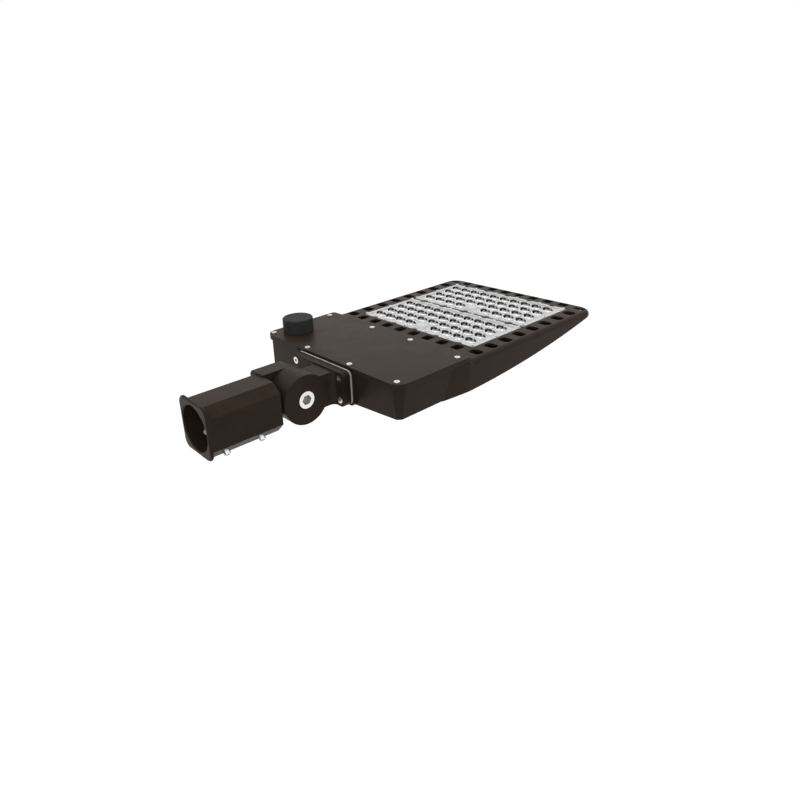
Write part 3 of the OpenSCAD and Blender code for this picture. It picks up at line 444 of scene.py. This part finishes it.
def layer(outline, up):
    """A thin closed shell of the outline, laid over the dome at a height above it."""
    bm = bmesh.new()
    face = bm.faces.new([bm.verts.new((p[0], p[1], 0.0)) for p in outline])
    bmesh.ops.triangulate(bm, faces=[face])
    for _ in range(LAYER_CUTS):
        long_edges = [e for e in bm.edges if e.calc_length() > LAYER_EDGE]
        if long_edges:
            bmesh.ops.subdivide_edges(bm, edges=long_edges, cuts=1)
            bmesh.ops.triangulate(bm, faces=bm.faces[:])
    bmesh.ops.recalc_face_normals(bm, faces=bm.faces[:])
    if sum(f.normal.z for f in bm.faces) < 0:
        bmesh.ops.reverse_faces(bm, faces=bm.faces[:])
    bm.verts.index_update()
    count = len(bm.verts)
    top = [(v.co.x, v.co.y, dome_z(v.co.x, v.co.y) + up) for v in bm.verts]
    verts = top + [(x, y, z - LAYER_THICK) for x, y, z in top]
    faces = [tuple(v.index for v in f.verts) for f in bm.faces]
    under = [tuple(i + count for i in reversed(f)) for f in faces]
    sides = []
    for f in bm.faces:
        for loop in f.loops:
            if loop.edge.is_boundary:
                a, b = loop.vert.index, loop.link_loop_next.vert.index
                sides.append((b, a, a + count, b + count))
    bm.free()
    return verts, faces + under + sides


def make_lenses():
    """One object per plate and material, with its shapes at each lens."""
    shade = layer(ellipse(*PAINTED_SHADE_OVAL, PAINTED_SHADE_POINTS), PAINTED_SHADE_UP)
    painted_dark_reflection = layer(rounded(KIDNEY), PAINTED_DARK_REFLECTION_UP)
    painted_black_outlines = [ellipse(*oval) for oval in PAINTED_BLACK_OVALS] + [rounded(STROKE)]
    painted_black = [layer(outline, PAINTED_BLACK_UP) for outline in painted_black_outlines]
    painted_highlight = layer(ellipse(*PAINTED_HIGHLIGHT_OVAL), PAINTED_HIGHLIGHT_UP)
    # The domes carry painted highlight; the other kinds are painted shade and painted dark reflections.
    kinds = (
        ("lens_domes_", [dome_shell(), painted_highlight], PAINTED_HIGHLIGHT, "clear_lens"),
        ("lens_shade_", [shade], PAINTED_SHADE, "clear_lens"),
        ("lens_dusk_", [painted_dark_reflection], PAINTED_DARK_REFLECTION, "black_plastic"),
        ("lens_core_", painted_black, PAINTED_BLACK_REFLECTION, "black_plastic"),
    )
    for number, plate_x in enumerate(PLATE_X, 1):
        for kind, shapes, mat, slot in kinds:
            name = kind + str(number)
            parts = [moved(part, plate_x + px, py) for px, py in lens_places() for part in shapes]
            mesh = mesh_of(name, parts)
            mesh.shade_smooth()
            piece(name, mesh, mat, "head")


# Lens plates with their rims nearly level with the housing, and the plates' screws with them.
# BOSS_R is the room round the connector's dome, which keeps its height as the lenses do.
RIM_DROP = 1.3
BOSS_R = 17.0
LENS_EDGE = 0.3
FIELD_SKIN = 0.05


def on_lens(x, y, places):
    if math.hypot(x - FIRST_ROW, y) < BOSS_R:
        return True
    return any(math.hypot(x - px, past_lobe(y - py)) < LOBE_R + LENS_EDGE for px, py in places)


def stand_in(name, node, mesh, slot):
    """A piece that is shown in place of a node."""
    obj = piece(name, mesh, MATERIALS[slot], "head")
    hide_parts(node)


def lower_plates():
    places = lens_places()
    for number, plate_x in enumerate(PLATE_X, 1):
        node = "lens_plate_" + str(number)
        mesh = frame["nodes"][node].data.copy()
        for v in mesh.vertices:
            z = v.co.z / MM
            if z > FIELD_Z + FIELD_SKIN and not on_lens(v.co.x / MM - plate_x, v.co.y / MM, places):
                v.co.z = max(z - RIM_DROP, FIELD_Z) * MM
        stand_in("lens_sheet_" + str(number), node, mesh, "clear_lens")
    mesh = frame["nodes"]["lens_screws"].data.copy()
    for v in mesh.vertices:
        v.co.z -= RIM_DROP * MM
    stand_in("plate_screws", "lens_screws", mesh, "steel_screws")


# Hex sockets: a thin dull cup lines each, painted shade that makes the socket read darker than the face
# of its screw's head.
# Each has its place, the way out, the way to a corner, its radius over corners and its depth.
CUP_WALL = 0.25
CUP_RIM = 0.3
CUP_BASE = 0.1
HEX = 6
BOLT_CUP = ((56.0, -40.5, 1.6), (0.0, -1.0, 0.0), (1.0, 0.0, 0.0), 8.0, 6.5)
FLANGE_CUPS = [
    ((105.2, y, z), (-1.0, 0.0, 0.0), (0.0, 0.0, 1.0), 2.9, 3.0)
    for y in (-53.0, 53.0) for z in (-11.1, 22.1)
]


def hex_cup(at, out, corner, radius, deep):
    """Closed hexagonal cup of painted shade, open to the way out, its rim just under the head's face."""
    at, out, corner = Vector(at), Vector(out), Vector(corner)
    across = out.cross(corner)
    levels = (
        (radius, deep + CUP_BASE),
        (radius, CUP_RIM),
        (radius - CUP_WALL, CUP_RIM),
        (radius - CUP_WALL, deep - CUP_WALL),
    )
    return shell([
        [at - out * depth + (corner * x + across * y) for x, y in ellipse(0.0, 0.0, r, r, HEX)]
        for r, depth in levels
    ])


# Tips of the set screws, chamfered, which end just short of the tenon's bore, as near-white discs of
# painted highlight: TIP_OUT is how far they are from its axis, and TIP_LEVELS holds depths behind
# that with the radius at each
SET_SCREW_X = (-73.1, -18.7)
TIP_OUT = 33.62
TIP_LEVELS = ((0.0, 3.6), (0.0, 3.9), (0.08, 4.2), (0.2, 4.2))
TIP_POINTS = 24


def tip_disc(x, side):
    """Closed disc of painted highlight that faces the bore from the lower chamfer at that side."""
    away = Vector((0.0, side, -1.0)).normalized()
    across = Vector((0.0, 1.0, side)).normalized()
    along = Vector((1.0, 0.0, 0.0))
    rings = []
    for depth, r in TIP_LEVELS:
        middle = along * x + away * (TIP_OUT + depth)
        circle = ellipse(0.0, 0.0, r, r, TIP_POINTS)
        rings.append([middle + along * u + across * v for u, v in circle])
    return shell(rings)


def make_linings():
    tips = [tip_disc(x, side) for x in SET_SCREW_X for side in (-1.0, 1.0)]
    kinds = (
        # painted shade in the hex sockets
        ("bolt_socket_painted_shade", [hex_cup(*BOLT_CUP)], PAINTED_SOCKET_SHADE, "fitter"),
        ("flange_sockets_painted_shade", [hex_cup(*cup) for cup in FLANGE_CUPS], PAINTED_SOCKET_SHADE, "head"),
        # painted highlight on the set screws' tips
        ("set_screw_tip_highlights", tips, PAINTED_TIP_HIGHLIGHT, "fitter"),
    )
    for name, parts, mat, body in kinds:
        mesh = mesh_of(name, parts)
        turn_outwards(mesh)
        piece(name, mesh, mat, body)


# Stage, in metres: white to the camera and lit at a plain level. The floor is so low that the head,
# tilted straight down, clears it.
FLOOR_SIZE = 40.0
FLOOR_AT = (0.3, 0.0, -0.62)
FLOOR_COLOUR = (0.35, 0.35, 0.35, 1.0)
FLOOR_GLOW = 0.79
WORLD_COLOUR = (1.0, 1.0, 1.0, 1.0)
WORLD_LIGHT = 0.75
WORLD_SEEN = 1.0


def seen_rays(t):
    path = t.add("ShaderNodeLightPath")
    both = t.math("MAXIMUM", path.outputs["Is Camera Ray"], path.outputs["Is Glossy Ray"])
    return t.math("MAXIMUM", both, path.outputs["Is Transmission Ray"])


def make_floor():
    bpy.ops.mesh.primitive_plane_add(size=FLOOR_SIZE, location=FLOOR_AT)
    floor = bpy.context.object
    floor.name = "floor"
    mat = bpy.data.materials.new("floor")
    mat.use_nodes = True
    t = Tree(mat.node_tree)
    t.nodes.clear()
    diffuse = t.add("ShaderNodeBsdfDiffuse")
    t.put(diffuse, "Color", FLOOR_COLOUR)
    glow = t.add("ShaderNodeEmission")
    t.put(glow, "Strength", t.math("MULTIPLY", seen_rays(t), FLOOR_GLOW))
    both = t.add("ShaderNodeAddShader")
    t.put(both, 0, diffuse.outputs[0])
    t.put(both, 1, glow.outputs[0])
    t.put(t.add("ShaderNodeOutputMaterial"), "Surface", both.outputs[0])
    floor.data.materials.append(mat)


def make_world():
    world = bpy.data.worlds.new("world")
    bpy.context.scene.world = world
    world.use_nodes = True
    t = Tree(world.node_tree)
    back = t.nodes["Background"]
    t.put(back, "Color", WORLD_COLOUR)
    t.put(back, "Strength", t.span(seen_rays(t), WORLD_LIGHT, WORLD_SEEN, (0.0, 1.0)))


def area_light(name, at, aim, size, power):
    data = bpy.data.lights.new(name, "AREA")
    data.shape = "DISK"
    data.size = size
    data.energy = power
    light = bpy.data.objects.new(name, data)
    light.location = at
    light.rotation_euler = (Vector(aim) - Vector(at)).to_track_quat("-Z", "Y").to_euler()
    bpy.context.scene.collection.objects.link(light)


def make_lights():
    area_light("key", at=(0.2, 0.3, 1.9), aim=(0.25, 0.0, 0.0), size=1.6, power=5.5)
    area_light("fill", at=(-1.3, -1.4, 0.9), aim=(0.2, 0.0, 0.0), size=1.4, power=4.5)


bpy.context.scene.view_settings.view_transform = "Standard"
make_camera()
dress_nodes()
make_lenses()
lower_plates()
make_linings()
make_floor()
make_world()
make_lights()
